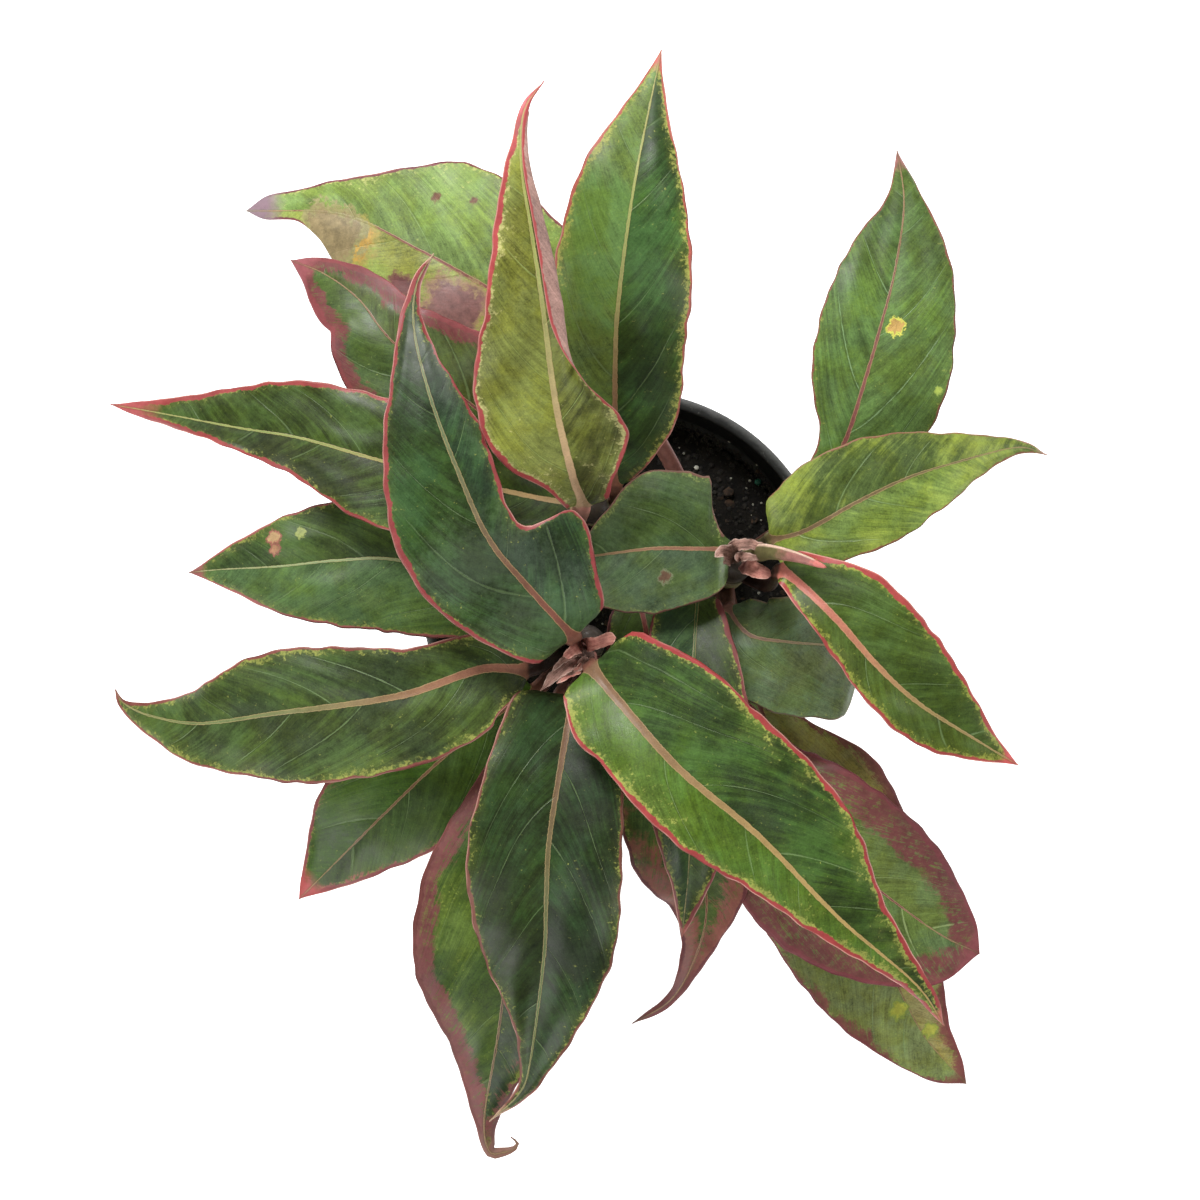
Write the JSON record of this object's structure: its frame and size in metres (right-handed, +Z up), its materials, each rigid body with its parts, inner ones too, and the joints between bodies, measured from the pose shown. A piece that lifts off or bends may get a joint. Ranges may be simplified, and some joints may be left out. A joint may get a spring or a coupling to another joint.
{
  "type": "potted chinese evergreen",
  "caption": "Potted chinese evergreen: arching pointed leaves with pink margins, green and maroon, on short canes in a round black nursery pot of soil.",
  "frame": {"origin": "centre of the pot's flat underside", "axes": "+Z up; +X to the right and +Y to the back of the plant as the overhead picture shows it"},
  "size_m": [0.328, 0.3786, 0.3],
  "materials": {
    "pot": "satin",
    "soil": "matte",
    "cane": "matte",
    "leaf_bright": "satin",
    "leaf_olive": "satin",
    "leaf_green": "satin",
    "leaf_dark": "satin",
    "leaf_maroon": "satin",
    "scale_pink": "matte",
    "scale_dry": "matte"
  },
  "bodies": {
    "root": {"pot": "pot", "soil": "soil", "stem_left": "cane", "stem_right": "cane", "stem_back": "cane", "leaf_front_broad": "leaf_bright", "leaf_left_broad": "leaf_dark", "leaf_left_lance": "leaf_green", "leaf_front_long": "leaf_dark", "leaf_left_short": "leaf_bright", "leaf_front_maroon": "leaf_maroon", "leaf_left_spotted": "leaf_dark", "leaf_back_folded": "leaf_olive", "leaf_back_tall": "leaf_green", "leaf_left_slender": "leaf_dark", "leaf_back_maroon": "leaf_maroon", "leaf_front_hooked": "leaf_maroon", "leaf_back_scorched": "leaf_olive", "leaf_right_ringspot": "leaf_green", "leaf_right_pointed": "leaf_green", "leaf_right_front": "leaf_green", "leaf_centre_creased": "leaf_dark", "leaf_right_blunt": "leaf_dark", "leaf_centre_narrow": "leaf_dark", "leaf_front_right_maroon": "leaf_maroon", "leaf_front_right_low": "leaf_maroon", "leaf_right_rolled": "scale_pink", "sheath_tip_left": "scale_pink", "sheath_tip_right": "scale_pink", "dry_scale_left": "scale_dry", "dry_scale_right": "scale_dry"}
  },
  "joints": []
}
